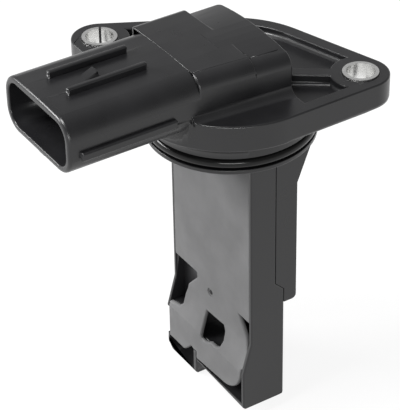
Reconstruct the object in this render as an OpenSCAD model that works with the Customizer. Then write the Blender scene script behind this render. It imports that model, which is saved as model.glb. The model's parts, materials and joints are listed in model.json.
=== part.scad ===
// Plug-in mass airflow sensor. One black moulding makes the connector, the head, the flange, the sealed
// neck and the backbone of the probe. The body in front of the backbone holds the passages that lead a
// part of the air past a hot-film element.
// Lengths are in millimetres. +Z points up, out of the duct. The origin is on the neck's axis, in the
// plane where the flange seats. The connector's mouth and the probe's cover face -X. The near side is -Y.

/* [Flange] */
// Radius of the round middle of the flange
flange_r = 21.3; // [20:0.1:24]
// Thickness of the flange
flange_t = 5.9; // [4.5:0.1:9]
// Radius of the flange around each bolt hole
ear_r = 5.9; // [5.4:0.1:8]
// Radius of the raised boss around each bushing
boss_r = 6.3; // [5.5:0.1:8]
// X of the bolt hole beside the connector
left_hole_x = -15.05; // [-18:0.05:-13]
// Y of the bolt hole beside the connector
left_hole_y = 25.9; // [24:0.1:30]
// X of the bolt hole behind the head
right_hole_x = 20.95; // [19:0.05:25]
// Y of the bolt hole behind the head
right_hole_y = -15.3; // [-18:0.1:-13]
// Width of the rim left around the pockets in the flange's top
rim_w = 2.9; // [1.5:0.1:4]
// Depth of the pockets in the flange's top
pocket_depth = 2.3; // [1:0.1:3.5]
// Width of the rib that runs from the head to each bolt hole
ear_rib_w = 2.7; // [1.5:0.1:4]
// Radius of the fillet at the foot of that rib
ear_rib_fillet_r = 0.9; // [0.4:0.1:1]

/* [Bushings] */
// Outer diameter of the steel bushings
bushing_d = 7.4; // [6.5:0.1:8.5]
// Wall of the bushings
bushing_wall = 0.8; // [0.5:0.1:1.5]
// How far the bushings stand out of the flange's top
bushing_proud = 0.3; // [0:0.1:0.6]
// Width of the gap in the rolled bushing
bushing_gap = 0.5; // [0.2:0.1:1]
// Turn of that gap about the bushing's axis, from +X
bushing_gap_turn = 58; // [0:1:360]

/* [Neck and seal] */
// Radius of the neck between the flange and the seal
neck_r = 17.5; // [17:0.1:18.5]
// Height of the neck above the seal's groove
neck_h = 4; // [2:0.1:8]
// Thickness of the seal's round section
seal_d = 2.5; // [2.2:0.1:3.2]
// Outer radius of the fitted seal
seal_r = 17.7; // [17.6:0.1:18.3]
// Radius of the lip below the seal
lip_r = 17.7; // [17.6:0.1:18.5]
// Thickness of the lip
lip_t = 1; // [0.8:0.1:3]

/* [Connector] */
// Distance from the neck's axis to the mouth of the connector
mouth_reach = 43.9; // [40:0.1:55]
// Outer width of the connector
shroud_w = 24.8; // [23:0.1:26]
// Outer height of the connector
shroud_h = 12.4; // [11.5:0.1:12.6]
// Corner radius of the connector, outside
shroud_r = 4.6; // [3.5:0.1:5]
// Wall of the connector
shroud_wall = 1.4; // [0.9:0.1:2]
// Depth of the connector's socket
socket_depth = 20.3; // [14:0.1:22]
// Distance between neighbouring terminals
terminal_pitch = 3.6; // [2.8:0.1:3.9]
// Width of a terminal's blade
terminal_w = 1.8; // [0.8:0.1:2.2]
// Thickness of a terminal's blade
terminal_t = 0.64; // [0.5:0.02:0.8]
// Length of a terminal inside the socket
terminal_reach = 11; // [6:0.5:12]

/* [Latch and ribs] */
// Sideways offset of the latch from the connector's middle
latch_y = 0.6; // [-1:0.1:1.5]
// Distance of each long rib from the latch
latch_rib_offset = 3.75; // [3:0.05:5]
// Width of the long ribs
top_rib_w = 1.1; // [0.8:0.1:1.6]
// Height of the long ribs
top_rib_h = 1.6; // [0.6:0.1:2.2]
// Distance from the mouth to the start of the long ribs
top_rib_start = 5.2; // [2:0.1:8]
// Length of the long ribs
top_rib_l = 17.5; // [10:0.5:20]
// Distance from the mouth to the start of the latch ramp
ramp_start = 10.3; // [6:0.1:14]
// Length of the latch ramp's slope
ramp_l = 3.3; // [2:0.1:5]
// Length of the latch ramp's steep back
ramp_back = 0.4; // [0.1:0.1:1]
// Width of the latch ramp
ramp_w = 2.4; // [1.6:0.1:3.5]
// Height of the latch ramp
ramp_h = 1.4; // [0.8:0.1:2]
// Distance from the mouth to the start of the side ribs
side_rib_start = 2.4; // [1:0.1:6]
// Length of the side ribs
side_rib_l = 21; // [12:0.5:22]
// Height of the side ribs
side_rib_h = 1.8; // [1:0.1:2.4]
// How far the side ribs stand out
side_rib_depth = 0.9; // [0.4:0.1:1.5]
// How far the side ribs' middle lies above the connector's bottom
side_rib_z = 4.8; // [4.6:0.1:6.5]
// Width of the rib under the connector
bottom_rib_w = 2.6; // [1.5:0.1:5]
// Height of the rib under the connector
bottom_rib_h = 1.2; // [0.8:0.1:1.8]
// Distance from the mouth to the start of the rib under the connector
bottom_rib_start = 0.9; // [0.2:0.1:3]
// Length of the rib under the connector
bottom_rib_l = 12; // [6:0.5:18]

/* [Head] */
// Height of the connector's and the root block's top above the flange's seat
head_top = 14.9; // [14.5:0.1:18]
// How far the connector's top bulges
shroud_bulge = 0.2; // [0.1:0.05:0.2]
// How far the root block's top bulges
block_bulge = 0.25; // [0.25:0.05:0.4]
// Radius of that bulge
block_crown_r = 250; // [200:5:300]
// How far the highest line of the head lies above the connector's top
head_bulge = 0.3; // [0.3:0.05:0.5]
// Radius of the head's crowned top
head_crown_r = 70; // [60:1:90]
// Y of the head's highest line
head_crown_y = -1.15; // [-1.5:0.05:-0.5]
// How far the head's near top edge lies below the root block's
head_edge_drop = 0.4; // [0.3:0.05:0.5]
// Distance from the neck's axis to the front of the root block
block_reach = 15; // [14:0.1:16]
// Distance from the neck's axis to the step between the root block and the head
step_reach = 2.7; // [1:0.1:5]
// Distance from the neck's axis to the rear of the head
head_rear = 5.2; // [4:0.1:8]
// Far side of the root block
block_far_y = 13.6; // [12.8:0.1:14]
// Far side of the head
head_far_y = 12; // [10:0.1:12.6]
// Near side of the head at its rear
head_near_y = 14.15; // [13.2:0.05:15]
// Radius of the head's near top edge
head_edge_r = 3; // [1:0.1:3.4]
// Radius of the root block's far top edge
block_far_r = 2.2; // [1:0.1:2.6]
// Radius of the head's far top edge
head_far_r = 1; // [0.6:0.1:1.4]
// Radius of the root block's upright corners
block_corner_r = 1.6; // [0.8:0.1:2.5]
// Radius of the fillet at the foot of the head's near side
head_foot_r = 2.2; // [0.8:0.1:2.6]

/* [Probe] */
// Width of the probe across the flow
probe_w = 30.4; // [29.8:0.1:31]
// Distance from the neck's axis to the probe's front
front_reach = 5.25; // [5:0.05:6]
// X of the seam between the front body and the backbone
seam_x = 0.9; // [0.5:0.1:1.3]
// X of the backbone's rear
backbone_x = 6; // [5:0.1:6.5]
// How far the backbone reaches below the step under the board
backbone_drop = 5.6; // [4.6:0.1:7]
// Radius of the backbone's lower rear edge
backbone_edge_r = 1; // [0.4:0.1:1.5]
// Height of the wall between the board and the step under it
step_wall = 1.3; // [1:0.1:2]
// X of the widened body's rear
body_rear_x = 3; // [2.8:0.1:3.6]
// Depth below the lip where the front starts to slope outwards
slope_top = 44.6; // [43.8:0.1:44.8]
// Depth below the lip where the slope ends
slope_bottom = 51.9; // [50.5:0.1:53]
// How far the slope carries the front outwards
slope_rise = 2.05; // [1:0.05:3]
// Length of the probe below the lip
probe_l = 61.4; // [61:0.1:65]
// How much further down the inlet leg reaches
leg_drop = 2.75; // [1.5:0.05:4]
// Near side of the inlet leg
leg_y = 3.6; // [3:0.1:3.9]
// Wall on the near side of the inlet leg
leg_wall = 1.07; // [0.8:0.01:1.3]
// Radius of the inlet leg's lower corner
leg_corner_r = 3.5; // [2:0.1:4.5]
// Thin side walls of the body
side_wall = 0.8; // [0.6:0.05:1]
// Thickness of the body's floor
floor_t = 1.4; // [1.1:0.1:1.5]
// Size of the slant along the body's lower front edge
front_slant = 0.5; // [0.3:0.1:0.7]
// How much that slant grows from the near side to the inlet leg
slant_growth = 0.7; // [0.3:0.1:0.9]
// Radius of the body's lower rear edge
floor_rear_r = 1; // [0.4:0.1:1.1]
// Thickness of the inlet leg's floor
leg_floor_t = 0.8; // [0.6:0.1:1.1]
// Wall between the passages and the body's rear
rear_wall = 1.2; // [0.9:0.1:1.3]
// How far the gussets under the lip reach behind the backbone
gusset_reach = 3; // [2:0.1:3]
// Height of the gussets
gusset_h = 7.5; // [4:0.1:12]
// Thickness of the gussets
gusset_t = 1.2; // [0.8:0.1:2]

/* [Cover] */
// Thickness of the cover
cover_t = 1; // [0.8:0.1:1.2]
// Radius of the cover's near lower corner
tongue_r = 7.1; // [5:0.1:7.6]
// Gap between the floor and the cover at that corner
tongue_gap = 1; // [0.3:0.1:1.2]
// Gap between the near wall and the cover at that corner
tongue_slot = 0.4; // [0.2:0.05:0.5]
// Height of the straight part of that gap
tongue_run = 1; // [0.6:0.1:1.5]
// Depth below the lip of the far port's upper edge
port_top = 38.5; // [38.3:0.1:38.9]
// Width of the far port at its top
far_port_w = 8.6; // [8:0.1:8.8]
// Width of the far port at its bottom
far_port_low_w = 4.5; // [3.5:0.1:5.5]
// Height of the far port
far_port_h = 12.3; // [11:0.1:12.8]
// Depth of the ledge inside the far port, from the front
port_ledge = 2.2; // [1.6:0.1:3]
// How much lower the near port starts
near_port_drop = 0.9; // [0.5:0.1:1.2]
// Depth of the near pocket below its port
pocket_sill = 2.6; // [1.5:0.1:3]
// Width of the near port at its top
near_port_w = 3.9; // [3:0.1:4]
// Height of the near port
near_port_h = 7; // [5:0.1:8]
// Y of the outlet's middle
outlet_y = -2.25; // [-2.5:0.05:-1.8]
// Width of the outlet in the slope
outlet_w = 7.7; // [7:0.1:7.8]
// Height of the outlet in the slope
outlet_h = 5.8; // [5:0.1:5.9]
// How much further down the outlet's far corner reaches
outlet_corner = 1.3; // [0.5:0.1:1.3]
// Distance from the top of the slope to the outlet
outlet_sill = 1.1; // [0.8:0.1:1.4]
// How much lower the cover reaches over the inlet leg
leg_cover_drop = 0.4; // [0.2:0.1:0.8]
// Diameter of the vent hole
vent_d = 1.3; // [0.8:0.1:1.6]
// Diameter of the sunk ring around the vent hole
vent_ring_d = 1.9; // [1.8:0.1:2.4]
// Depth of that ring
vent_ring_depth = 0.2; // [0.1:0.1:0.4]
// Y of the vent hole
vent_y = 0.6; // [0.4:0.1:1.5]
// Depth of the vent hole below the ports' upper edge
vent_drop = 2.1; // [2:0.1:2.6]

/* [Passages] */
// Wall between neighbouring passages
passage_wall = 0.8; // [0.6:0.05:1]
// Height of the main passage above the body's floor
main_h = 5.7; // [5:0.1:5.8]
// Height of the main passage over the wall of the inlet leg
dam_gap = 3.6; // [3:0.1:4]
// Width of the rising passage
riser_w = 2.4; // [1.8:0.1:2.6]
// Distance from the far port's upper edge to the sensing passage
port_sill = 1; // [0.8:0.1:1.2]
// Height of the sensing passage
sensing_h = 4; // [3:0.1:4.1]
// Width of the falling passage
falling_w = 2.8; // [2:0.1:3]
// How far the main passage's roof rises towards the inlet
inlet_rise = 2; // [1:0.1:2.2]
// Height of the inlet in the far side
inlet_h = 7.4; // [6:0.1:7.8]

/* [Circuit] */
// Half width of the chamber for the circuit
chamber_half_w = 12.2; // [12:0.1:12.5]
// Depth of the chamber's top below the lip
chamber_top = 4; // [3:0.1:5]
// Depth of the chamber's bottom below the lip
chamber_bottom = 29; // [28.8:0.1:29.3]
// How much wider the board is than the chamber, on each side
board_lap = 0.6; // [0.3:0.1:1]
// Depth of the board's top edge below the lip
board_top = 9.5; // [9.3:0.1:9.8]
// Thickness of the board
board_t = 0.8; // [0.5:0.1:1.2]
// Thickness of the aluminium plate behind the board
plate_t = 0.8; // [0.5:0.1:1.2]
// How much smaller the plate is than the board, on each side
plate_inset = 0.8; // [0.4:0.1:2]
// Thickness of the gel over the board
gel_t = 2.8; // [2.2:0.1:3.2]
// Depth below the lip of the terminals' lower ends
terminal_drop = 8.5; // [8.3:0.1:8.8]
// Thickness of the bond wires
wire_d = 0.3; // [0.15:0.05:0.4]
// Radius of the bond wires' arches
wire_r = 1.4; // [1.2:0.1:1.6]
// Side of the controller chip
chip_w = 7; // [5:0.1:8]
// Thickness of the controller chip
chip_t = 1.1; // [0.8:0.1:1.5]
// Width of the regulator chip
regulator_w = 4; // [3:0.1:5]
// Thickness of the regulator chip
regulator_t = 1.2; // [0.8:0.1:1.5]
// Width of a capacitor
capacitor_w = 2; // [1.2:0.1:2.6]
// Thickness of a capacitor
capacitor_t = 1; // [0.6:0.1:1.5]
// Width of a resistor
resistor_w = 1.6; // [1:0.1:2]
// Thickness of a resistor
resistor_t = 0.5; // [0.3:0.1:0.8]
// Middle of the carrier of the sensing element
carrier_y = -2.4; // [-2.6:0.1:-2.2]
// Width of the carrier
carrier_w = 4; // [3:0.1:4.4]
// Thickness of the carrier
carrier_t = 0.9; // [0.7:0.05:1]
// Gap between the carrier's end and the passage's floor
carrier_gap = 0.3; // [0.1:0.1:0.6]
// How far the carrier overlaps the board
carrier_lap = 2.2; // [1.5:0.1:3]
// Side of the sensing element
element_w = 2.4; // [1.6:0.1:2.6]
// Thickness of the sensing element
element_t = 0.4; // [0.3:0.05:0.5]
// Diameter of the thermistor's bead
bead_d = 1.8; // [1.6:0.1:1.9]
// Thickness of the thermistor's leads
lead_d = 0.4; // [0.3:0.05:0.45]
// How far the thermistor's leads overlap the board
lead_lap = 4; // [2:0.1:5]
// Gap between the thermistor's bead and the wall beside it
bead_gap = 0.4; // [0.3:0.1:0.5]
// Distance between the thermistor's leads
lead_pitch = 1; // [0.8:0.1:1]

/* [Fits] */
// Play around the board and its plate in the backbone
board_play = 0.1; // [0.05:0.01:0.15]
// Play around the carrier and the leads where they pass through the body
pass_play = 0.05; // [0.02:0.01:0.1]

/* [Hidden] */
$fn = 96;
// Overlap of a cut with what it cuts
cut = 1;
// How far a fillet reaches into its floor and wall
fillet_root = 0.1;
far = 20;
left_hole = [left_hole_x, left_hole_y];
right_hole = [right_hole_x, right_hole_y];
bushing_l = flange_t + bushing_proud;
seal_floor_r = seal_r - seal_d;
lip_z = -(neck_h + seal_d + lip_t);
shroud_z = head_top - shroud_h / 2;
shroud_bottom = head_top - shroud_h;
socket_floor_x = -mouth_reach + socket_depth;
half_w = probe_w / 2;
cover_w = half_w - side_wall;
low_front_x = -front_reach - slope_rise;
passage_x = body_rear_x - rear_wall;
// Depths below the lip
leg_bottom = probe_l + leg_drop;
floor_top = probe_l - floor_t;
leg_floor_top = leg_bottom - leg_floor_t;
main_top = floor_top - main_h;
dam_top = main_top + dam_gap;
inlet_top = main_top - inlet_rise;
inlet_bottom = inlet_top + inlet_h;
tongue_bottom = floor_top - tongue_gap;
tongue_top = tongue_bottom - tongue_r - tongue_run;
leg_cover_bottom = floor_top + leg_cover_drop;
near_port_top = port_top + near_port_drop;
near_pocket_bottom = near_port_top + near_port_h + pocket_sill;
sensing_top = port_top + port_sill;
sensing_bottom = sensing_top + sensing_h;
outlet_top = slope_top + outlet_sill;
outlet_bottom = outlet_top + outlet_h + outlet_corner;
board_bottom = chamber_bottom + board_lap;
step_depth = board_bottom + step_wall;
backbone_l = step_depth + backbone_drop;
wire_depth = (terminal_drop + board_top) / 2;
carrier_top = chamber_bottom - carrier_lap;
lead_top = chamber_bottom - lead_lap;
// Places across the flow
outlet_near = outlet_y - outlet_w / 2;
outlet_far = outlet_y + outlet_w / 2;
riser_far = outlet_near - passage_wall;
riser_near = riser_far - riser_w;
near_pocket_y = riser_near - passage_wall;
falling_far = cover_w - far_port_w - passage_wall;
bead_y = near_pocket_y - bead_d / 2 - bead_gap;
board_half_w = chamber_half_w + board_lap;
plate_half_w = board_half_w - plate_inset;
lead_x = seam_x - lead_d / 2;
// The head's near side: its run in X and Y, its turn about Z and its length
near_run = [head_rear + block_reach, shroud_w / 2 - head_near_y];
near_turn = atan2(near_run.y, near_run.x);
near_l = norm(near_run);

// Helpers

// A box between two places in X and Y and two depths below the lip
module box(x0, x1, y0, y1, d0, d1) {
    translate([x0, y0, lip_z - d1]) cube([x1 - x0, y1 - y0, d1 - d0]);
}

// A solid from X = x0 to x1 of a shape drawn in Y and depth below the lip
module across_x(x0, x1) {
    translate([x0, 0, lip_z]) mirror([0, 0, 1]) rotate([90, 0, 90]) linear_extrude(x1 - x0) children();
}

// A solid from Y = y0 to y1 of a shape drawn in X and depth below the lip
module across_y(y0, y1) {
    translate([0, y1, lip_z]) mirror([0, 0, 1]) rotate([90, 0, 0]) linear_extrude(y1 - y0) children();
}

// A rectangle between two corners
module window(a0, a1, b0, b1) {
    translate([a0, b0]) square([a1 - a0, b1 - b0]);
}

// What a corner of radius r loses, on a shape that lies at X > 0 and Y > 0
module corner_loss(r) {
    difference() {
        translate([-cut, -cut]) square(r + cut);
        translate([r, r]) circle(r = r);
    }
}

// A rounded rectangle about the origin
module rounded_rect(w, h, r) {
    square([w - 2 * r, h], center = true);
    square([w, h - 2 * r], center = true);
    for (x = [-1, 1], y = [-1, 1])
        translate([x * (w / 2 - r), y * (h / 2 - r)]) circle(r = r);
}

// Cuts a round edge of radius r along X, on a solid that lies at Y > 0 and Z < 0
module edge_cutter(l, r) {
    difference() {
        translate([-cut, -cut, -r]) cube([l + 2 * cut, r + cut, r + 2 * cut]);
        translate([-2 * cut, r, -r]) rotate([0, 90, 0]) cylinder(r = r, h = l + 4 * cut);
    }
}

// A hollow fillet along X, between a floor at Z = 0 and a wall at Y = 0 whose solid lies at Y > 0. It meets
// both at a slight angle.
module foot_fillet(l, r) {
    difference() {
        translate([0, -r, -fillet_root]) cube([l, r + fillet_root, r + fillet_root]);
        translate([-cut, -r, r]) rotate([0, 90, 0]) cylinder(r = 1.01 * r, h = l + 2 * cut);
    }
}

// Flange

// The round middle of radius r with the ear of radius e at one hole
module eared_disc(r, e, hole) {
    turn = atan2(hole.y, hole.x);
    lean = acos((r - e) / norm(hole));
    up = [cos(turn + lean), sin(turn + lean)];
    down = [cos(turn - lean), sin(turn - lean)];
    circle(r = r);
    translate(hole) circle(r = e);
    polygon([r * up, hole + e * up, hole + e * down, r * down]);
}

module flange_outline(inset = 0) {
    for (hole = [left_hole, right_hole]) eared_disc(flange_r - inset, ear_r - inset, hole);
}

module pocket_outline() {
    difference() {
        intersection() {
            flange_outline(rim_w);
            union() {
                window(head_rear, 3 * flange_r, -3 * flange_r, 3 * flange_r);
                window(-3 * flange_r, 0, block_far_y, 3 * flange_r);
            }
        }
        for (hole = [left_hole, right_hole]) {
            translate(hole) circle(r = boss_r);
            rotate(atan2(hole.y, hole.x)) window(0, norm(hole), -ear_rib_w / 2, ear_rib_w / 2);
        }
    }
}

module flange() {
    difference() {
        linear_extrude(flange_t) flange_outline();
        translate([0, 0, flange_t - pocket_depth]) linear_extrude(pocket_depth + cut) pocket_outline();
    }
    for (hole = [left_hole, right_hole], side = [0, 1])
        rotate(atan2(hole.y, hole.x)) mirror([0, side, 0])
            translate([head_rear / 2, -ear_rib_w / 2, flange_t - pocket_depth])
                foot_fillet(norm(hole) - head_rear / 2 - 0.85 * boss_r, ear_rib_fillet_r);
}

module neck() {
    translate([0, 0, -neck_h]) cylinder(r = neck_r, h = neck_h + 0.5);
    translate([0, 0, lip_z]) cylinder(r = seal_floor_r, h = -lip_z);
    translate([0, 0, lip_z]) cylinder(r = lip_r, h = lip_t);
}

// Head and connector

// Places a child along the head's near side, at the height z
module on_near_side(z) {
    translate([-block_reach, -shroud_w / 2, z]) rotate(near_turn) children();
}

// The outline of the part of the head from X = x0 to x1 whose far side lies at far_y
module head_outline(x0, x1, far_y) {
    difference() {
        window(x0, x1, -flange_r, far_y);
        translate([-block_reach, -shroud_w / 2]) rotate(near_turn)
            window(-far, near_l + far, -flange_r, 0);
        translate([x0, far_y]) mirror([0, 1]) corner_loss(block_corner_r);
        translate([x1, far_y]) rotate(180) corner_loss(block_corner_r);
    }
}

// The same part as a solid. Its top is part of a cylinder of radius r whose highest line lies at Y = y and
// Z = z. Its near edge is rounded from the height near_z, and its far edge by the radius far_r.
module head_part(x0, x1, far_y, r, y, z, near_z, far_r) {
    far_z = z - r + sqrt(pow(r, 2) - pow(far_y - far_r - y, 2));
    difference() {
        intersection() {
            linear_extrude(z + cut) head_outline(x0, x1, far_y);
            translate([x0 - cut, y, z - r]) rotate([0, 90, 0])
                cylinder(r = r, h = x1 - x0 + 2 * cut, $fn = 720);
        }
        on_near_side(near_z) edge_cutter(near_l, head_edge_r);
        translate([x0, far_y, far_z]) mirror([0, 1, 0]) edge_cutter(x1 - x0, far_r);
    }
}

module head() {
    head_part(-block_reach, -step_reach, block_far_y, block_crown_r, 0, head_top + block_bulge, head_top,
        block_far_r);
    head_part(-step_reach - 2 * block_corner_r, head_rear, head_far_y, head_crown_r, head_crown_y,
        head_top + head_bulge, head_top - head_edge_drop, head_far_r);
    intersection() {
        on_near_side(flange_t) translate([-2, 0, 0]) foot_fillet(near_l + 4, head_foot_r);
        linear_extrude(head_top) intersection() {
            flange_outline();
            window(-far, head_rear, -flange_r, 0);
        }
    }
}

// The connector's outline, with its bulging top
module shroud_outline() {
    half_top = shroud_w / 2 - shroud_r;
    bulge_r = (pow(half_top, 2) + pow(shroud_bulge, 2)) / (2 * shroud_bulge);
    rounded_rect(shroud_w, shroud_h, shroud_r);
    intersection() {
        translate([0, shroud_h / 2 + shroud_bulge - bulge_r]) circle(r = bulge_r, $fn = 720);
        window(-half_top, half_top, 0, shroud_h);
    }
}

module shroud() {
    translate([-mouth_reach, 0, shroud_z]) rotate([90, 0, 90])
        linear_extrude(mouth_reach - block_reach + 1) shroud_outline();
    for (side = [-1, 1])
        translate([-mouth_reach + top_rib_start, latch_y + side * latch_rib_offset - top_rib_w / 2,
            head_top - shroud_wall / 2]) cube([top_rib_l, top_rib_w, top_rib_h + shroud_wall / 2]);
    translate([-mouth_reach + ramp_start, latch_y + ramp_w / 2, head_top]) rotate([90, 0, 0])
        linear_extrude(ramp_w) polygon([
            [0, 0],
            [ramp_l, ramp_h],
            [ramp_l + ramp_back, 0],
            [ramp_l + ramp_back, -shroud_wall / 2],
            [0, -shroud_wall / 2]
        ]);
    translate([-mouth_reach + side_rib_start, -shroud_w / 2 - side_rib_depth,
        shroud_bottom + side_rib_z - side_rib_h / 2])
        difference() {
            cube([side_rib_l, shroud_w + 2 * side_rib_depth, side_rib_h]);
            translate([-cut, side_rib_depth + shroud_wall / 2, -cut])
                cube([side_rib_l + 2 * cut, shroud_w - shroud_wall, side_rib_h + 2 * cut]);
        }
    translate([-mouth_reach + bottom_rib_start, latch_y - bottom_rib_w / 2, shroud_bottom - bottom_rib_h])
        cube([bottom_rib_l, bottom_rib_w, bottom_rib_h + shroud_wall / 2]);
}

module socket() {
    translate([-mouth_reach - cut, 0, shroud_z]) rotate([90, 0, 90]) linear_extrude(socket_depth + cut)
        rounded_rect(shroud_w - 2 * shroud_wall, shroud_h - 2 * shroud_wall, shroud_r - shroud_wall);
}

// Backbone of the probe

module backbone_profile() {
    difference() {
        polygon([
            [seam_x, 0],
            [backbone_x, 0],
            [backbone_x, backbone_l],
            [body_rear_x, backbone_l],
            [body_rear_x, step_depth + body_rear_x - seam_x],
            [seam_x, step_depth]
        ]);
        translate([backbone_x, backbone_l]) rotate(180) corner_loss(backbone_edge_r);
    }
}

module backbone() {
    across_y(-half_w, half_w) backbone_profile();
    for (side = [0, 1])
        mirror([0, side, 0]) across_y(-half_w, -half_w + gusset_t) polygon([
            [backbone_x - 1, 0],
            [backbone_x + gusset_reach, 0],
            [backbone_x, gusset_h],
            [backbone_x - 1, gusset_h]
        ]);
}

// One terminal: a blade in the socket, then a leg down to the circuit
module terminal(i) {
    tip_x = socket_floor_x - terminal_reach;
    end_x = seam_x + terminal_t;
    top_z = shroud_z + terminal_t / 2;
    translate([0, (i - 3) * terminal_pitch, 0]) {
        translate([0, 0, top_z - terminal_t]) linear_extrude(terminal_t) polygon([
            [tip_x, -terminal_w / 4],
            [tip_x + terminal_w / 2, -terminal_w / 2],
            [end_x, -terminal_w / 2],
            [end_x, terminal_w / 2],
            [tip_x + terminal_w / 2, terminal_w / 2],
            [tip_x, terminal_w / 4]
        ]);
        translate([seam_x, -terminal_w / 2, lip_z - terminal_drop])
            cube([terminal_t, terminal_w, top_z - lip_z + terminal_drop]);
    }
}

module sensor_housing() {
    color([0.13, 0.13, 0.14]) difference() {
        union() {
            flange();
            neck();
            head();
            shroud();
            backbone();
        }
        socket();
        for (i = [1:5]) terminal(i);
        for (hole = [left_hole, right_hole])
            translate([hole.x, hole.y, -cut]) cylinder(d = bushing_d, h = flange_t + 2 * cut);
        box(seam_x - cut, seam_x + board_t, -board_half_w - board_play, board_half_w + board_play,
            board_top - board_play, board_bottom + board_play);
        box(seam_x, seam_x + board_t + plate_t, -plate_half_w - board_play, plate_half_w + board_play,
            board_top + plate_inset - board_play, board_bottom - plate_inset + board_play);
    }
}

// Bushings and seal

module bushing(hole) {
    translate(hole) difference() {
        cylinder(d = bushing_d, h = bushing_l);
        translate([0, 0, -cut]) cylinder(d = bushing_d - 2 * bushing_wall, h = bushing_l + 2 * cut);
    }
}

module rolled_bushing() {
    color([0.72, 0.72, 0.7]) difference() {
        bushing(left_hole);
        translate(left_hole) rotate(bushing_gap_turn)
            translate([0, -bushing_gap / 2, -cut]) cube([bushing_d, bushing_gap, bushing_l + 2 * cut]);
    }
}

module plain_bushing() {
    color([0.72, 0.72, 0.7]) bushing(right_hole);
}

module neck_seal() {
    color([0.08, 0.08, 0.08]) translate([0, 0, -neck_h - seal_d / 2])
        rotate_extrude() translate([seal_r - seal_d / 2, 0]) circle(d = seal_d, $fn = 32);
}

// Cover of the probe

// The sloping front of the probe, from the offset t0 to the offset t1 behind it
module front_band(t0, t1) {
    polygon([
        [-front_reach + t0, 0],
        [-front_reach + t0, slope_top],
        [low_front_x + t0, slope_bottom],
        [low_front_x + t0, leg_bottom],
        [low_front_x + t1, leg_bottom],
        [low_front_x + t1, slope_bottom],
        [-front_reach + t1, slope_top],
        [-front_reach + t1, 0]
    ]);
}

// A point of a port: a fraction of its width from y0 and a fraction of its height from d0
function port_point(y0, w, d0, h, u, v) = [y0 + u * w, d0 + v * h];

module cover_outline() {
    leg_w = cover_w - leg_y;
    lift = leg_cover_bottom - dam_top;
    polygon([
        [-cover_w, 0],
        [cover_w, 0],
        [cover_w, leg_cover_bottom],
        [leg_y + 0.45 * leg_w, leg_cover_bottom],
        [leg_y + 0.36 * leg_w, leg_cover_bottom - 0.3 * lift],
        [leg_y + 0.18 * leg_w, dam_top - 0.1 * lift],
        [leg_y + leg_wall, dam_top],
        [leg_y, dam_top],
        [leg_y, floor_top - 0.25 * tongue_gap],
        [-cover_w + tongue_slot + tongue_r, tongue_bottom],
        [-cover_w + tongue_slot, tongue_bottom - tongue_r],
        [-cover_w + tongue_slot, tongue_top + tongue_slot],
        [-cover_w, tongue_top]
    ]);
    translate([-cover_w + tongue_slot + tongue_r, tongue_bottom - tongue_r]) circle(r = tongue_r);
}

module far_port() {
    low = far_port_low_w / far_port_w;
    polygon([for (p = [[-0.1, 0], [0.98, 0], [1, 0.1], [low + 0.05, 0.43], [low, 0.65], [low, 0.85],
        [low - 0.14, 0.95], [0, 1], [-0.1, 1]])
            port_point(cover_w, -far_port_w, port_top, far_port_h, p.x, p.y)]);
}

module near_port() {
    polygon([for (p = [[-0.2, 0], [1, 0], [0.66, 0.3], [0.3, 0.6], [0.2, 0.82], [0, 1], [-0.2, 1]])
        port_point(-cover_w, near_port_w, near_port_top, near_port_h, p.x, p.y)]);
}

module outlet() {
    low = 1 + outlet_corner / outlet_h;
    polygon([for (p = [[1, 0.05], [0.14, 0], [0.03, 0.17], [0, 0.53], [0.1, 0.9], [0.27, 1], [0.5, 1],
        [0.8, low], [1, low]])
            port_point(outlet_near, outlet_w, outlet_top, outlet_h, p.x, p.y)]);
}

module probe_cover() {
    color([0.3, 0.3, 0.31]) difference() {
        intersection() {
            across_y(-cover_w, cover_w) front_band(0, cover_t);
            across_x(-far, far) difference() {
                cover_outline();
                far_port();
                near_port();
                outlet();
            }
        }
        translate([-front_reach, vent_y, lip_z - port_top - vent_drop]) rotate([0, 90, 0]) {
            translate([0, 0, -cut]) cylinder(d = vent_d, h = cover_t + 2 * cut, $fn = 32);
            translate([0, 0, -cut]) cylinder(d = vent_ring_d, h = vent_ring_depth + cut, $fn = 32);
        }
    }
}

// Front body of the probe

module body_profile(bottom) {
    difference() {
        polygon([
            [-front_reach, 0],
            [-front_reach, slope_top],
            [low_front_x, slope_bottom],
            [low_front_x, bottom - front_slant],
            [low_front_x + front_slant, bottom],
            [body_rear_x, bottom],
            [body_rear_x, step_depth + body_rear_x - seam_x],
            [seam_x, step_depth],
            [seam_x, 0]
        ]);
        translate([body_rear_x, bottom]) rotate(180) corner_loss(floor_rear_r);
    }
}

// Cuts the slant along the body's lower front edge, wider towards the inlet leg
module growing_slant() {
    start = 1.1 * front_slant;
    translate([low_front_x, -half_w, lip_z - probe_l + start]) rotate([0, 45, 0])
        rotate([atan(sin(45) * slant_growth / (half_w + leg_y)), 0, 0])
            translate([-far, -cut, -far]) cube([2 * far, 2 * half_w, far]);
}

// The main passage, from the inlet leg over the dam to the near lower corner
module main_passage() {
    inner_r = leg_corner_r - max(side_wall, leg_floor_t);
    difference() {
        polygon([
            [-cover_w, main_top],
            [falling_far + 2 * passage_wall, main_top],
            [cover_w, inlet_top],
            [cover_w, leg_floor_top],
            [leg_y + leg_wall, leg_floor_top],
            [leg_y + leg_wall, dam_top],
            [leg_y, dam_top],
            [leg_y, floor_top],
            [-cover_w, floor_top]
        ]);
        translate([cover_w, leg_floor_top]) rotate(180) corner_loss(inner_r);
    }
}

// The passages that branch off: up past the far side of the near pocket, across and down to the outlet
module branch_passages() {
    window(riser_near, riser_far, sensing_top, main_top + cut);
    window(riser_near, falling_far, sensing_top, sensing_bottom);
    window(falling_far - falling_w, falling_far, sensing_top, outlet_bottom);
    window(outlet_near, falling_far, outlet_top, outlet_bottom);
}

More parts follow.
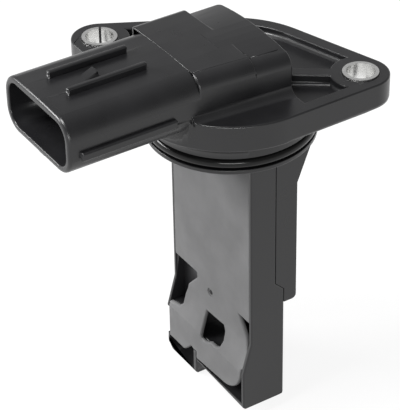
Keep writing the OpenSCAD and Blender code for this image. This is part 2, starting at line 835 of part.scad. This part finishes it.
// The two pockets beside the passages, at the near wall
module near_pockets() {
    window(-cover_w, near_pocket_y, near_port_top, near_pocket_bottom);
    window(-cover_w, near_pocket_y, tongue_top, main_top + cut);
}

module probe_body() {
    color([0.16, 0.16, 0.17]) difference() {
        union() {
            difference() {
                across_y(-half_w, half_w) body_profile(probe_l);
                growing_slant();
            }
            across_y(leg_y, half_w) body_profile(leg_bottom);
        }
        across_x(-far, far) translate([half_w, leg_bottom]) rotate(180) corner_loss(leg_corner_r);
        intersection() {
            across_y(-cover_w, cover_w) front_band(-cut, cover_t);
            across_x(-far, far) cover_outline();
        }
        across_x(-far, passage_x) {
            main_passage();
            branch_passages();
            near_pockets();
        }
        across_x(-far, -front_reach + port_ledge) intersection() {
            far_port();
            window(0, cover_w, 0, leg_bottom);
        }
        box(low_front_x - cut, passage_x, cover_w - cut, half_w + cut, inlet_top, inlet_bottom);
        box(-far, seam_x + cut, -chamber_half_w, chamber_half_w, chamber_top, chamber_bottom);
        box(seam_x - carrier_t - pass_play, seam_x + pass_play, carrier_y - carrier_w / 2 - pass_play,
            carrier_y + carrier_w / 2 + pass_play, chamber_bottom - cut, sensing_top + cut);
        for (side = [-1, 1])
            box(seam_x - lead_d - pass_play, seam_x + pass_play,
                bead_y + side * lead_pitch / 2 - lead_d / 2 - pass_play,
                bead_y + side * lead_pitch / 2 + lead_d / 2 + pass_play,
                chamber_bottom - cut, near_port_top + cut);
    }
}

// Circuit

// A block on the board's front. Its middle is given as fractions of the chamber's half width, and of the
// height from the board's top edge to the chamber's bottom.
module on_board(u, v, w, h, t) {
    y = u * chamber_half_w;
    d = board_top + v * (chamber_bottom - board_top);
    box(seam_x - t, seam_x, y - w / 2, y + w / 2, d - h / 2, d + h / 2);
}

module circuit_board() {
    color([0.1, 0.35, 0.2])
        box(seam_x, seam_x + board_t, -board_half_w, board_half_w, board_top, board_bottom);
}

module base_plate() {
    color([0.75, 0.76, 0.78])
        box(seam_x + board_t, seam_x + board_t + plate_t, -plate_half_w, plate_half_w,
            board_top + plate_inset, board_bottom - plate_inset);
}

module controller_chip() {
    color([0.08, 0.08, 0.08]) on_board(0.29, 0.52, chip_w, chip_w, chip_t);
}

module regulator_chip() {
    color([0.08, 0.08, 0.08]) on_board(-0.49, 0.36, regulator_w, 0.75 * regulator_w, regulator_t);
}

module capacitors() {
    color([0.7, 0.6, 0.45])
        for (p = [[-0.82, 0.24], [-0.82, 0.44], [0.82, 0.24]])
            on_board(p.x, p.y, capacitor_w, 0.6 * capacitor_w, capacitor_t);
}

module resistors() {
    color([0.12, 0.12, 0.14])
        for (p = [[-0.33, 0.62], [-0.57, 0.62], [-0.57, 0.74], [0.82, 0.44]])
            on_board(p.x, p.y, resistor_w, 0.5 * resistor_w, resistor_t);
}

module bond_wires() {
    color([0.85, 0.85, 0.86])
        for (i = [1:5])
            translate([seam_x, (i - 3) * terminal_pitch, lip_z - wire_depth])
                rotate([0, -90, 0]) rotate([90, 0, 0]) rotate_extrude(angle = 180, $fn = 32)
                    translate([wire_r, 0]) circle(d = wire_d, $fn = 16);
}

module silicone_gel() {
    color([0.8, 0.85, 0.9, 0.5]) difference() {
        box(seam_x - gel_t, seam_x, -chamber_half_w, chamber_half_w, chamber_top, chamber_bottom);
        controller_chip();
        regulator_chip();
        capacitors();
        resistors();
        bond_wires();
        carrier_block();
        leads();
    }
}

// Sensing element and thermistor

module carrier_block() {
    box(seam_x - carrier_t, seam_x, carrier_y - carrier_w / 2, carrier_y + carrier_w / 2,
        carrier_top, sensing_bottom - carrier_gap);
}

module flow_element() {
    color([0.35, 0.4, 0.45])
        box(seam_x - carrier_t, seam_x - carrier_t + element_t, carrier_y - element_w / 2,
            carrier_y + element_w / 2, (sensing_top + sensing_bottom - element_w) / 2,
            (sensing_top + sensing_bottom + element_w) / 2);
}

module element_carrier() {
    color([0.85, 0.85, 0.82]) difference() {
        carrier_block();
        flow_element();
    }
}

module lead(side) {
    translate([lead_x, bead_y + side * lead_pitch / 2, lip_z - sensing_bottom])
        cylinder(d = lead_d, h = sensing_bottom - lead_top, $fn = 24);
}

module leads() {
    lead(-1);
    lead(1);
}

module air_thermistor() {
    color([0.45, 0.2, 0.12]) difference() {
        translate([lead_x, bead_y, lip_z - sensing_bottom]) sphere(d = bead_d, $fn = 32);
        leads();
    }
}

module terminal_node(i) {
    color([0.78, 0.74, 0.62]) terminal(i);
}

sensor_housing();
rolled_bushing();
plain_bushing();
neck_seal();
probe_body();
probe_cover();
terminal_node(1);  // terminal_1
terminal_node(2);  // terminal_2
terminal_node(3);  // terminal_3
terminal_node(4);  // terminal_4
terminal_node(5);  // terminal_5
circuit_board();
base_plate();
controller_chip();
regulator_chip();
capacitors();
resistors();
bond_wires();
silicone_gel();
element_carrier();
flow_element();
air_thermistor();
color([0.8, 0.8, 0.8]) lead(-1);  // thermistor_lead_a
color([0.8, 0.8, 0.8]) lead(1);  // thermistor_lead_b
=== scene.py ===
# %% [markdown]
# # A plug-in mass airflow sensor
#
# The sensor hangs through a hole in an intake duct. One black moulding makes the connector, the head, the
# flange and the backbone of the probe, and a plate of the same near-black plastic covers the air passages
# in front. The plate's lighter grey is painted light, standing for the light from the left on its face. The
# packed model already has every piece at its real size. This lesson gives those pieces their edges and
# finishes, and sets them in a plain studio.

# %% Load the imported model
import json
import math

import bmesh
import bpy
from mathutils import Matrix, Vector


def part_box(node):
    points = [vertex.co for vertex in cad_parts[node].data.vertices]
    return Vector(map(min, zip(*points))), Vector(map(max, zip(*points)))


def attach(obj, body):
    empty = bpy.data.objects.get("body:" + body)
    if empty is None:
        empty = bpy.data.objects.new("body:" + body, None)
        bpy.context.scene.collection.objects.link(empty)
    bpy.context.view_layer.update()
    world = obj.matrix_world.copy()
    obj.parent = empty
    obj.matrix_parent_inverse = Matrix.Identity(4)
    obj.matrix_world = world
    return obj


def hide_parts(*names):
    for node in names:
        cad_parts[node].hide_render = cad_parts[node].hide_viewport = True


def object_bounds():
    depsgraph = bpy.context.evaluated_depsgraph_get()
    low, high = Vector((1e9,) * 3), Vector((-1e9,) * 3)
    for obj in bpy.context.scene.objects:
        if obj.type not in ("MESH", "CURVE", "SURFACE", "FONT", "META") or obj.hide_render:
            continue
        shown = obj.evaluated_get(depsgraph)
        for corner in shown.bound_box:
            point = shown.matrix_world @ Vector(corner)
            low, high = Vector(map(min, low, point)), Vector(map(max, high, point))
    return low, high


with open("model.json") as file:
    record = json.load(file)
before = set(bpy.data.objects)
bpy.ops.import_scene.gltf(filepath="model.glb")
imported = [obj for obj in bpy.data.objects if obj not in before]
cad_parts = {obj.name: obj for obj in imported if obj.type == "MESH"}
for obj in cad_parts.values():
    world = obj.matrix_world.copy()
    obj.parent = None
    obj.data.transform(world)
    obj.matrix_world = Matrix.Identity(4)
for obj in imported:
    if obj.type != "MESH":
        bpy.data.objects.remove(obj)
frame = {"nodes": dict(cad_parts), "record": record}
cad_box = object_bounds()
bpy.context.scene.view_settings.view_transform = "Standard"
MM = 0.001
print("pieces loaded:", len(frame["nodes"]))
print("size in mm:", [round((high - low) / MM, 1) for low, high in zip(*cad_box)])

# %% [markdown]
# ## The camera
#
# A product photographer takes such a part from a little above with a long lens, which keeps its edges
# nearly parallel. A camera needs a direction, a distance and a lens. Here the direction is three angles, and
# the place follows from the pixel where the part's origin shows, so the framing can't drift when an angle
# is corrected.

# %% Aim the camera
IMAGE_W, IMAGE_H = 400, 410
SENSOR = 36.0
LENS = 176.75
TURN, TILT, ROLL = (math.radians(angle) for angle in (-32.08, 34.87, 1.11))
ORIGIN_PIXEL = (230.44, 95.0)
ORIGIN_DISTANCE = 404.91 * MM
NEAREST_SEEN = 10 * MM


def camera_axes(turn, tilt, roll):
    """The camera's right, down and forward directions in the part's frame."""
    forward = Vector((-math.sin(turn) * math.cos(tilt), math.cos(turn) * math.cos(tilt), -math.sin(tilt)))
    right = Vector((math.cos(turn), math.sin(turn), 0))
    down = forward.cross(right)
    rolled_right = math.cos(roll) * right + math.sin(roll) * down
    rolled_down = math.cos(roll) * down - math.sin(roll) * right
    return rolled_right, rolled_down, forward


def add_camera():
    """The camera, placed so that the part's origin shows at its pixel."""
    right, down, forward = camera_axes(TURN, TILT, ROLL)
    pixels = LENS / SENSOR * max(IMAGE_W, IMAGE_H)
    across = (ORIGIN_PIXEL[0] - IMAGE_W / 2) / pixels
    below = (ORIGIN_PIXEL[1] - IMAGE_H / 2) / pixels
    camera = bpy.data.objects.new("camera", bpy.data.cameras.new("camera"))
    camera.data.lens = LENS
    camera.data.sensor_width = SENSOR
    camera.data.clip_start = NEAREST_SEEN
    turned = Matrix((right, -down, -forward)).transposed().to_4x4()
    place = -(right * across + down * below + forward) * ORIGIN_DISTANCE
    camera.matrix_world = Matrix.Translation(place) @ turned
    bpy.context.scene.collection.objects.link(camera)
    bpy.context.scene.camera = camera
    return camera


camera = add_camera()
print("camera at", [round(v, 3) for v in camera.location])

# %% [markdown]
# ## Small helpers for materials
#
# Every finish here is built from nodes on Object coordinates, in metres, so a pattern has its true scale on
# each piece. These helpers keep the node code short: each adds what it is named for, sets the inputs and
# gives back the output.

# %% Node helpers
NOISE_MIDDLE = (0.3, 0.7)


def new_material(name):
    """A material with its node tree and its Principled shader."""
    material = bpy.data.materials.new(name)
    material.use_nodes = True
    return material, material.node_tree, material.node_tree.nodes["Principled BSDF"]


def noise(tree, cells, detail=3, stretch=(1, 1, 1)):
    """A noise of so many cells in a metre, which three factors make finer along X, Y and Z."""
    coordinates = tree.nodes.new("ShaderNodeTexCoord").outputs["Object"]
    mapping = tree.nodes.new("ShaderNodeMapping")
    mapping.inputs["Scale"].default_value = stretch
    tree.links.new(coordinates, mapping.inputs["Vector"])
    texture = tree.nodes.new("ShaderNodeTexNoise")
    texture.inputs["Scale"].default_value = cells
    texture.inputs["Detail"].default_value = detail
    tree.links.new(mapping.outputs["Vector"], texture.inputs["Vector"])
    return texture.outputs["Fac"]


def map_range(tree, value, start, end, low, high):
    """Maps a value between start and end to the range low to high."""
    node = tree.nodes.new("ShaderNodeMapRange")
    node.inputs["From Min"].default_value = start
    node.inputs["From Max"].default_value = end
    node.inputs["To Min"].default_value = low
    node.inputs["To Max"].default_value = high
    tree.links.new(value, node.inputs["Value"])
    return node.outputs["Result"]


def spread(tree, value, low, high):
    """Maps the middle of a noise to the range low to high."""
    return map_range(tree, value, *NOISE_MIDDLE, low, high)


def wander(tree, value, roughness, steps):
    """A roughness that a noise moves between two steps away from its plain value."""
    return spread(tree, value, roughness + steps[0], roughness + steps[1])


def tint(tree, value, dark, light):
    """A colour that runs from dark to light with a value."""
    mix = tree.nodes.new("ShaderNodeMix")
    mix.data_type = "RGBA"
    mix.inputs["A"].default_value = (*dark, 1)
    mix.inputs["B"].default_value = (*light, 1)
    tree.links.new(value, mix.inputs["Factor"])
    return mix.outputs["Result"]


def bump(tree, value, height):
    """Raises the surface by up to height metres with a noise."""
    node = tree.nodes.new("ShaderNodeBump")
    node.inputs["Distance"].default_value = height
    tree.links.new(value, node.inputs["Height"])
    return node.outputs["Normal"]


def combine(tree, operation, first, second):
    """The result of a Math node on an output and a second output, or a number."""
    node = tree.nodes.new("ShaderNodeMath")
    node.operation = operation
    tree.links.new(first, node.inputs[0])
    if isinstance(second, float):
        node.inputs[1].default_value = second
    else:
        tree.links.new(second, node.inputs[1])
    return node.outputs["Value"]


# %% [markdown]
# ## Moulded plastic
#
# Glass-filled nylon comes out of the mould with a fine even texture. It looks almost black, and it shines
# only where it turns away from the eye. Two noises are enough: a fine one for the texture, about a quarter
# of a millimetre wide, and a broad one that clouds the colour and lets the gloss wander a little, as on a
# real moulding.

# %% Plastics
TEXTURE_CELLS = 4200
TEXTURE_HEIGHT = 5e-6
CLOUD_CELLS = 150
CLOUD_CONTRAST = 0.12
CLOUD_ROUGHNESS = (-0.04, 0.04)


def moulded_plastic(name, colour, roughness, shine=0.5):
    """A plastic with a fine texture and faint clouds in its colour and gloss."""
    material, tree, shader = new_material(name)
    texture = noise(tree, TEXTURE_CELLS)
    clouds = noise(tree, CLOUD_CELLS)
    dark = [(1 - CLOUD_CONTRAST) * c for c in colour]
    light = [(1 + CLOUD_CONTRAST) * c for c in colour]
    tree.links.new(tint(tree, spread(tree, clouds, 0, 1), dark, light), shader.inputs["Base Color"])
    tree.links.new(wander(tree, clouds, roughness, CLOUD_ROUGHNESS), shader.inputs["Roughness"])
    tree.links.new(bump(tree, texture, TEXTURE_HEIGHT), shader.inputs["Normal"])
    shader.inputs["Specular IOR Level"].default_value = shine
    return material


housing_plastic = moulded_plastic("housing_plastic", (0.011, 0.011, 0.012), 0.3)
probe_plastic = moulded_plastic("probe_plastic", (0.012, 0.012, 0.013), 0.32)
# The cover's grey is painted light: it is the same near-black plastic as the body, made lighter to stand for
# the light from the left on its face.
cover_plastic = moulded_plastic("cover_plastic", (0.16, 0.16, 0.162), 0.5, shine=0.1)
print("plastics:", [m.name for m in bpy.data.materials])

# %% [markdown]
# ## Steel, rubber and the circuit's finishes
#
# The bushings are rolled or turned from plated steel, so fine scratches run round them. The seal is smooth
# rubber with a film of oil. The pieces inside the probe don't show, but each still gets its own finish, for
# whoever takes the cover off.

# %% Metals and the other finishes
DARKEST_SHARE = 0.85
SCRATCH_CELLS = 900
SCRATCH_DETAIL = 4
SCRATCH_DEPTH = 2e-6
SCRATCH_ROUGHNESS = (-0.06, 0.08)
GRAIN_ROUGHNESS = (-0.03, 0.05)
GEL_CLEARNESS = 0.85
GEL_IOR = 1.41


def metal(name, colour, roughness, scratches=(1, 1, 12)):
    """A metal with fine scratches, which lie across the axis whose factor is large."""
    material, tree, shader = new_material(name)
    lines = noise(tree, SCRATCH_CELLS, SCRATCH_DETAIL, scratches)
    dark = [DARKEST_SHARE * c for c in colour]
    shader.inputs["Metallic"].default_value = 1.0
    tree.links.new(tint(tree, lines, dark, colour), shader.inputs["Base Color"])
    tree.links.new(wander(tree, lines, roughness, SCRATCH_ROUGHNESS), shader.inputs["Roughness"])
    tree.links.new(bump(tree, lines, SCRATCH_DEPTH), shader.inputs["Normal"])
    return material


def glossy(name, colour, roughness, grain_cells=1500, grain=1e-6, shine=0.5):
    """A smooth material, such as rubber, resin or glaze, with a fine grain."""
    material, tree, shader = new_material(name)
    grains = noise(tree, grain_cells)
    dark = [DARKEST_SHARE * c for c in colour]
    tree.links.new(tint(tree, grains, dark, colour), shader.inputs["Base Color"])
    tree.links.new(wander(tree, grains, roughness, GRAIN_ROUGHNESS), shader.inputs["Roughness"])
    tree.links.new(bump(tree, grains, grain), shader.inputs["Normal"])
    shader.inputs["Specular IOR Level"].default_value = shine
    return material


finishes = {
    "housing_plastic": housing_plastic,
    "probe_plastic": probe_plastic,
    "cover_plastic": cover_plastic,
    "bushing_steel": metal("bushing_steel", (0.88, 0.88, 0.87), 0.24),
    "seal_rubber": glossy("seal_rubber", (0.006, 0.006, 0.006), 0.14, shine=0.25),
    "terminal_metal": metal("terminal_metal", (0.78, 0.74, 0.62), 0.3, (12, 1, 1)),
    "board_laminate": glossy("board_laminate", (0.03, 0.2, 0.08), 0.35),
    "plate_aluminium": metal("plate_aluminium", (0.75, 0.76, 0.78), 0.38, (1, 12, 1)),
    "chip_resin": glossy("chip_resin", (0.015, 0.015, 0.016), 0.55, 6000, 4e-6),
    "capacitor_ceramic": glossy("capacitor_ceramic", (0.5, 0.36, 0.22), 0.4),
    "resistor_ceramic": glossy("resistor_ceramic", (0.03, 0.03, 0.035), 0.35),
    "wire_aluminium": metal("wire_aluminium", (0.85, 0.85, 0.86), 0.25, (1, 1, 1)),
    "gel_silicone": glossy("gel_silicone", (0.7, 0.78, 0.84), 0.12, 400, 2e-6),
    "carrier_ceramic": glossy("carrier_ceramic", (0.8, 0.8, 0.76), 0.5, 5000, 2e-6),
    "element_glass": glossy("element_glass", (0.1, 0.14, 0.2), 0.08),
    "thermistor_glaze": glossy("thermistor_glaze", (0.28, 0.08, 0.03), 0.1),
    "lead_metal": metal("lead_metal", (0.75, 0.75, 0.75), 0.3, (1, 1, 1)),
}
gel_shader = finishes["gel_silicone"].node_tree.nodes["Principled BSDF"]
gel_shader.inputs["Transmission Weight"].default_value = GEL_CLEARNESS
gel_shader.inputs["IOR"].default_value = GEL_IOR
print("finishes:", len(finishes))

# %% Give each node the finish of its slot
slots = {subpart["node"]: subpart["material_slot"] for subpart in frame["record"]["subparts"]}
for name, piece in frame["nodes"].items():
    piece.data.materials.clear()
    piece.data.materials.append(finishes[slots[name]])
print("nodes dressed:", len(slots))

# %% [markdown]
# ## Rounded edges
#
# A moulding has no sharp edge. Every outer edge has a small round, which is what catches the light and lets
# the eye read the shape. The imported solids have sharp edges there, so each large piece gets a copy whose
# loose triangles are joined, whose flat faces are made whole again, and whose outer edges carry the width of
# their own round. One Bevel modifier then makes all the rounds together, so that a corner stays clean where
# a wide round meets a narrow one. Widths and places of the rounds are in millimetres.

# %% A copy of a node with whole faces
SAME_POINT = 2e-6
NO_LENGTH = 1e-6
FLAT_ANGLE = math.radians(0.5)


def joined_copy(name, merge):
    """A mesh of the node in which each flat face is one face again, and corners closer than merge are one."""
    bm = bmesh.new()
    bm.from_mesh(frame["nodes"][name].data)
    bmesh.ops.remove_doubles(bm, verts=bm.verts, dist=SAME_POINT)
    bmesh.ops.dissolve_degenerate(bm, edges=bm.edges, dist=NO_LENGTH)
    bmesh.ops.dissolve_limit(bm, angle_limit=FLAT_ANGLE, verts=bm.verts, edges=bm.edges)
    if merge:
        bmesh.ops.remove_doubles(bm, verts=bm.verts, dist=merge * MM)
        bmesh.ops.dissolve_degenerate(bm, edges=bm.edges, dist=NO_LENGTH)
    bmesh.ops.recalc_face_normals(bm, faces=bm.faces)
    return bm


def new_piece(title, bm, node):
    """An object of the mesh, smooth and with the node's finish."""
    for face in bm.faces:
        face.smooth = True
    mesh = bpy.data.meshes.new(title)
    bm.to_mesh(mesh)
    bm.free()
    mesh.materials.append(finishes[slots[node]])
    piece = bpy.data.objects.new(title, mesh)
    bpy.context.scene.collection.objects.link(piece)
    return piece


def stand_in(piece, node):
    """Hides the node and hangs the piece, which stands in the node's place, on the root body."""
    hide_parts(node)
    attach(piece, "root")


# %% The rounds of a piece
WIDEST_ROUND = 1.0
ROUND_STEPS = 3
ROOM_SHARE = 0.7
SHORTEST_ROUNDED = 0.1
SHARP_ANGLE = math.radians(35)
CROWN_LEVEL = 12.5 * MM
CROWN_UPWARD = 0.97
CROWN_ANGLE = math.radians(0.05)


def length_mm(edge):
    return edge.calc_length() / MM


def room_beside(edge, widths):
    """The shortest of the sharp edges that end where this one ends: its round can't reach past them."""
    beside = {other for vert in edge.verts for other in vert.link_edges if other not in widths}
    return min((length_mm(other) for other in beside), default=WIDEST_ROUND)


def keep_crowns_flat(mesh):
    """Marks the edges between the nearly level facets on top sharp, so long facets don't smear the light."""
    sharp = mesh.attributes["sharp_edge"].data
    facets = {}
    for polygon in mesh.polygons:
        if polygon.normal.z > CROWN_UPWARD and polygon.center.z > CROWN_LEVEL:
            for key in polygon.edge_keys:
                facets.setdefault(key, []).append(polygon.normal)
    for edge in mesh.edges:
        pair = facets.get(edge.key, [])
        if len(pair) == 2 and pair[0].angle(pair[1]) > CROWN_ANGLE:
            sharp[edge.index].value = True


def rounded_piece(name, title, round_of, merge=0):
    """Replaces a node by a copy whose edges are rounded by round_of, a width in mm for each outer edge."""
    bm = joined_copy(name, merge)
    weight = bm.edges.layers.float.new("bevel_weight_edge")
    widths = {}
    for edge in bm.edges:
        if edge.is_manifold and edge.calc_face_angle_signed(0) > SHARP_ANGLE:
            middle = (edge.verts[0].co + edge.verts[1].co) / 2 / MM
            width = round_of(middle, edge)
            if width > 0:
                widths[edge] = width
    for edge, width in widths.items():
        edge[weight] = min(width, ROOM_SHARE * room_beside(edge, widths), WIDEST_ROUND) / WIDEST_ROUND
    print(title, "edges rounded:", len(widths))
    piece = new_piece(title, bm, name)
    bevel = piece.modifiers.new("rounds", "BEVEL")
    bevel.limit_method = "WEIGHT"
    bevel.width = WIDEST_ROUND * MM
    bevel.segments = ROUND_STEPS
    bevel.use_clamp_overlap = False
    bevel.loop_slide = False
    normals = piece.modifiers.new("flat faces", "WEIGHTED_NORMAL")
    normals.keep_sharp = True
    piece.data.set_sharp_from_angle(angle=SHARP_ANGLE)
    keep_crowns_flat(piece.data)
    stand_in(piece, name)


# %% [markdown]
# ## The housing
#
# Its rounds differ from place to place. The mouth's rim is full on the outside and crisp inside. The round
# under the flange is narrow on the connector's side and grows wide towards the rear.

# %% The housing's rounds
MOUTH_X, MOUTH_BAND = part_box("sensor_housing")[0].x / MM, 0.1
MOUTH_HALF_W, MOUTH_FLOOR, MOUTH_ROOF = 11.2, 3.8, 13.6
MOUTH_OUTER_ROUND, MOUTH_INNER_ROUND = 0.65, 0.25
CONNECTOR_END_X, CONNECTOR_ROUND = -21, 0.35
TOP_ROUND = 0.3
SEAT_R, SEAT_BAND = 20, 0.5
FRONT_X, FRONT_ROUND = 5, 0.4
REAR_X, REAR_ROUND = 17, 1.0
NECK_ROUND = 0.15
LIP_BOTTOM, LIP_BAND = -7.5, 0.01
LIP_R, LIP_ROUND = 17, 0.25


def underside_round(x):
    """The round under the flange, which grows between two places along X."""
    share = min(max((x - FRONT_X) / (REAR_X - FRONT_X), 0), 1)
    return FRONT_ROUND + share * (REAR_ROUND - FRONT_ROUND)


def housing_round(middle, edge):
    """The round of an edge of the housing, by the place of its middle."""
    x, y, z = middle
    from_axis = math.hypot(x, y)
    if length_mm(edge) < SHORTEST_ROUNDED:
        return 0
    if z < LIP_BOTTOM + LIP_BAND:
        return LIP_ROUND if from_axis > LIP_R else 0
    if z < -SEAT_BAND:
        return NECK_ROUND
    if z < SEAT_BAND:
        return underside_round(x) if from_axis > SEAT_R else 0
    if x < MOUTH_X + MOUTH_BAND:
        inside = abs(y) < MOUTH_HALF_W and MOUTH_FLOOR < z < MOUTH_ROOF
        return MOUTH_INNER_ROUND if inside else MOUTH_OUTER_ROUND
    return CONNECTOR_ROUND if x < CONNECTOR_END_X else TOP_ROUND


rounded_piece("sensor_housing", "housing", housing_round)

# %% [markdown]
# ## The seal
#
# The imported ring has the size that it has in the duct's hole. Out of the duct the rubber stands a little
# prouder on its free side, so the ring is turned again with that side fuller.

# %% A ring of rubber
SECTION_POINTS = 36
RING_STEPS = 180
FULLER = 1.08


def turned_ring(title, node, centre_r, centre_z, section_r):
    """A ring about Z, spun from a circle whose outer half is pulled out a little."""
    bm = bmesh.new()
    bmesh.ops.create_circle(bm, segments=SECTION_POINTS, radius=section_r)
    for vert in bm.verts:
        if vert.co.x > 0:
            vert.co.x *= FULLER
    bmesh.ops.rotate(bm, verts=bm.verts, cent=(0, 0, 0), matrix=Matrix.Rotation(math.pi / 2, 3, "X"))
    bmesh.ops.translate(bm, verts=bm.verts, vec=(centre_r, 0, centre_z))
    bmesh.ops.spin(bm, geom=bm.verts[:] + bm.edges[:], cent=(0, 0, 0), axis=(0, 0, 1), dvec=(0, 0, 0),
                   angle=2 * math.pi, steps=RING_STEPS, use_merge=True)
    bmesh.ops.recalc_face_normals(bm, faces=bm.faces)
    ring = new_piece(title, bm, node)
    stand_in(ring, node)
    return ring


seal_low, seal_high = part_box("neck_seal")
seal_r = (seal_high.z - seal_low.z) / 2
seal = turned_ring("seal", "neck_seal", seal_high.x - seal_r, (seal_low.z + seal_high.z) / 2, seal_r)
reach = max(vert.co.x for vert in seal.data.vertices) / MM
print("seal's radius:", round(reach, 2), "mm, vertices:", len(seal.data.vertices))

# %% [markdown]
# ## The probe
#
# The body and its cover have thin walls, so their rounds are narrow, and the widest are on the body's outer
# corners and the cover's face. Corners of the mesh that lie closer together than a tenth of a millimetre, or
# a twentieth on the cover, are made one first, because a round can't turn on so short an edge.

# %% The probe's rounds
PROBE_TOP = LIP_BOTTOM - 0.5
FOOT_Z, FOOT_ROUND = -68, 0.2
BODY_SIDE_Y, BODY_SIDE_ROUND = 15, 0.3
PLATE_SIDE_Y, PLATE_ROUND = 14.2, 0.35
THIN_ROUND = 0.12
BODY_MERGE, COVER_MERGE = 0.1, 0.05


def body_round(middle, edge):
    """The round of an edge of the body, by the place of its middle."""
    if length_mm(edge) < SHORTEST_ROUNDED or middle.z > PROBE_TOP:
        return 0
    if middle.z < FOOT_Z:
        return FOOT_ROUND
    return BODY_SIDE_ROUND if abs(middle.y) > BODY_SIDE_Y else THIN_ROUND


def cover_round(middle, edge):
    """The round of an edge of the cover, by the place of its middle."""
    if length_mm(edge) < SHORTEST_ROUNDED or middle.z > PROBE_TOP:
        return 0
    return THIN_ROUND if abs(middle.y) > PLATE_SIDE_Y else PLATE_ROUND


rounded_piece("probe_body", "body", body_round, BODY_MERGE)
rounded_piece("probe_cover", "cover", cover_round, COVER_MERGE)

# %% [markdown]
# ## The studio
#
# A sheet of paper lies below, and a soft room and three lamps light the part. The paper glows only for the
# camera and in reflections. So it shows white there, still takes the part's shadow, and throws little light
# up at the part.

# %% Floor
FLOOR_GAP = 0.4 * MM
FLOOR_REACH = 4
PAPER, PAPER_ROUGHNESS, PAPER_SHINE = 0.13, 0.9, 0.1
PAPER_GLOW = 0.88


def paper():
    """A dull paper that glows for the camera and in what reflects or transmits it."""
    material, tree, shader = new_material("white_paper")
    shader.inputs["Base Color"].default_value = (PAPER, PAPER, PAPER, 1)
    shader.inputs["Roughness"].default_value = PAPER_ROUGHNESS
    shader.inputs["Specular IOR Level"].default_value = PAPER_SHINE
    path = tree.nodes.new("ShaderNodeLightPath")
    seen = path.outputs["Is Camera Ray"]
    for kind in ("Is Glossy Ray", "Is Transmission Ray"):
        seen = combine(tree, "MAXIMUM", seen, path.outputs[kind])
    shader.inputs["Emission Color"].default_value = (1, 1, 1, 1)
    tree.links.new(combine(tree, "MULTIPLY", seen, PAPER_GLOW), shader.inputs["Emission Strength"])
    return material


def add_floor(height):
    """A large sheet of paper that lies at a height and takes the shadow."""
    mesh = bpy.data.meshes.new("floor")
    bm = bmesh.new()
    bmesh.ops.create_grid(bm, x_segments=1, y_segments=1, size=FLOOR_REACH)
    bmesh.ops.translate(bm, verts=bm.verts, vec=(0, 0, height))
    bm.to_mesh(mesh)
    bm.free()
    mesh.materials.append(paper())
    floor = bpy.data.objects.new("floor", mesh)
    bpy.context.scene.collection.objects.link(floor)


floor_height = cad_box[0].z - FLOOR_GAP
add_floor(floor_height)
print("floor at", round(floor_height, 4))

# %% [markdown]
# ## The light
#
# The room is bright at the horizon and greyer overhead, and dimmer behind the camera. The key lamp hangs
# high, the left lamp reaches the cover below the connector, and a thin strip behind the camera puts glints on
# the edges.

# %% World and lamps
HORIZON_HEIGHT, OVERHEAD_HEIGHT = 0.12, 0.4
BEHIND_DEPTH, FRONT_DEPTH = -0.5, 0.2


def add_world(horizon, overhead, behind):
    """A room with a strength at the horizon and overhead, and a share of it behind the camera."""
    world = bpy.data.worlds.new("studio")
    world.use_nodes = True
    bpy.context.scene.world = world
    tree = world.node_tree
    background = tree.nodes["Background"]
    direction = tree.nodes.new("ShaderNodeTexCoord").outputs["Generated"]
    split = tree.nodes.new("ShaderNodeSeparateXYZ")
    tree.links.new(direction, split.inputs["Vector"])
    height = map_range(tree, split.outputs["Z"], HORIZON_HEIGHT, OVERHEAD_HEIGHT, horizon, overhead)
    depth = map_range(tree, split.outputs["Y"], BEHIND_DEPTH, FRONT_DEPTH, behind, 1)
    tree.links.new(combine(tree, "MULTIPLY", height, depth), background.inputs["Strength"])
    background.inputs["Color"].default_value = (1, 1, 1, 1)


def add_lamp(name, place, target, width, height, watts):
    """A lamp with a flat face of width by height, aimed at the target."""
    lamp = bpy.data.objects.new(name, bpy.data.lights.new(name, "AREA"))
    lamp.data.shape = "RECTANGLE"
    lamp.data.size = width
    lamp.data.size_y = height
    lamp.data.energy = watts
    lamp.location = place
    lamp.rotation_euler = (Vector(target) - Vector(place)).to_track_quat("-Z", "Y").to_euler()
    bpy.context.scene.collection.objects.link(lamp)


add_world(horizon=0.85, overhead=0.42, behind=0.6)
add_lamp("key_lamp", (-0.42, 0.05, 0.9), (0, 0, -0.03), 0.35, 0.35, 9)
add_lamp("left_lamp", (-0.62, 0.5, 0.34), (0, 0, -0.04), 0.35, 0.35, 8)
add_lamp("glint_lamp", (-0.417, -0.665, 0.148), (0, 0, -0.005), 0.45, 0.03, 2)
